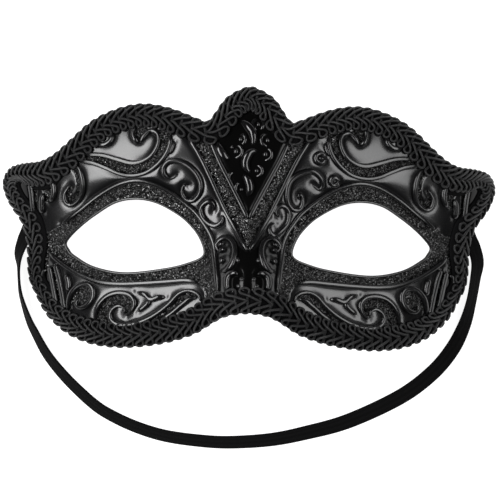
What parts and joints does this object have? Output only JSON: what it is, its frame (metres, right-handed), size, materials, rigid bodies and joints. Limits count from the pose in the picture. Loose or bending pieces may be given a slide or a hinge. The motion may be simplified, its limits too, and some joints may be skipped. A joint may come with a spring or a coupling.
{
  "type": "venetian eye mask",
  "caption": "Half mask with moulded scroll relief, two eye openings, gimp braid round the edge and a flat elastic strap, lying face up.",
  "frame": {"origin": "on the surface that the mask lies on, below the middle of the mask's width and height over the braid, without the strap", "axes": "+X to the right as seen from the front, +Y towards the forehead, +Z out of the face"},
  "size_m": [0.191, 0.1402, 0.0548],
  "materials": {
    "shell_plastic": "satin to gloss black moulded plastic, glitter in the sunk bands",
    "gimp_braid": "soft black gimp cord",
    "strap_elastic": "flat black woven elastic",
    "tab_felt": "black felt"
  },
  "bodies": {
    "root": {"mask_shell": "shell_plastic", "braid_trim": "gimp_braid", "strap": "strap_elastic", "strap_tab_left": "tab_felt", "strap_tab_right": "tab_felt"}
  },
  "joints": []
}
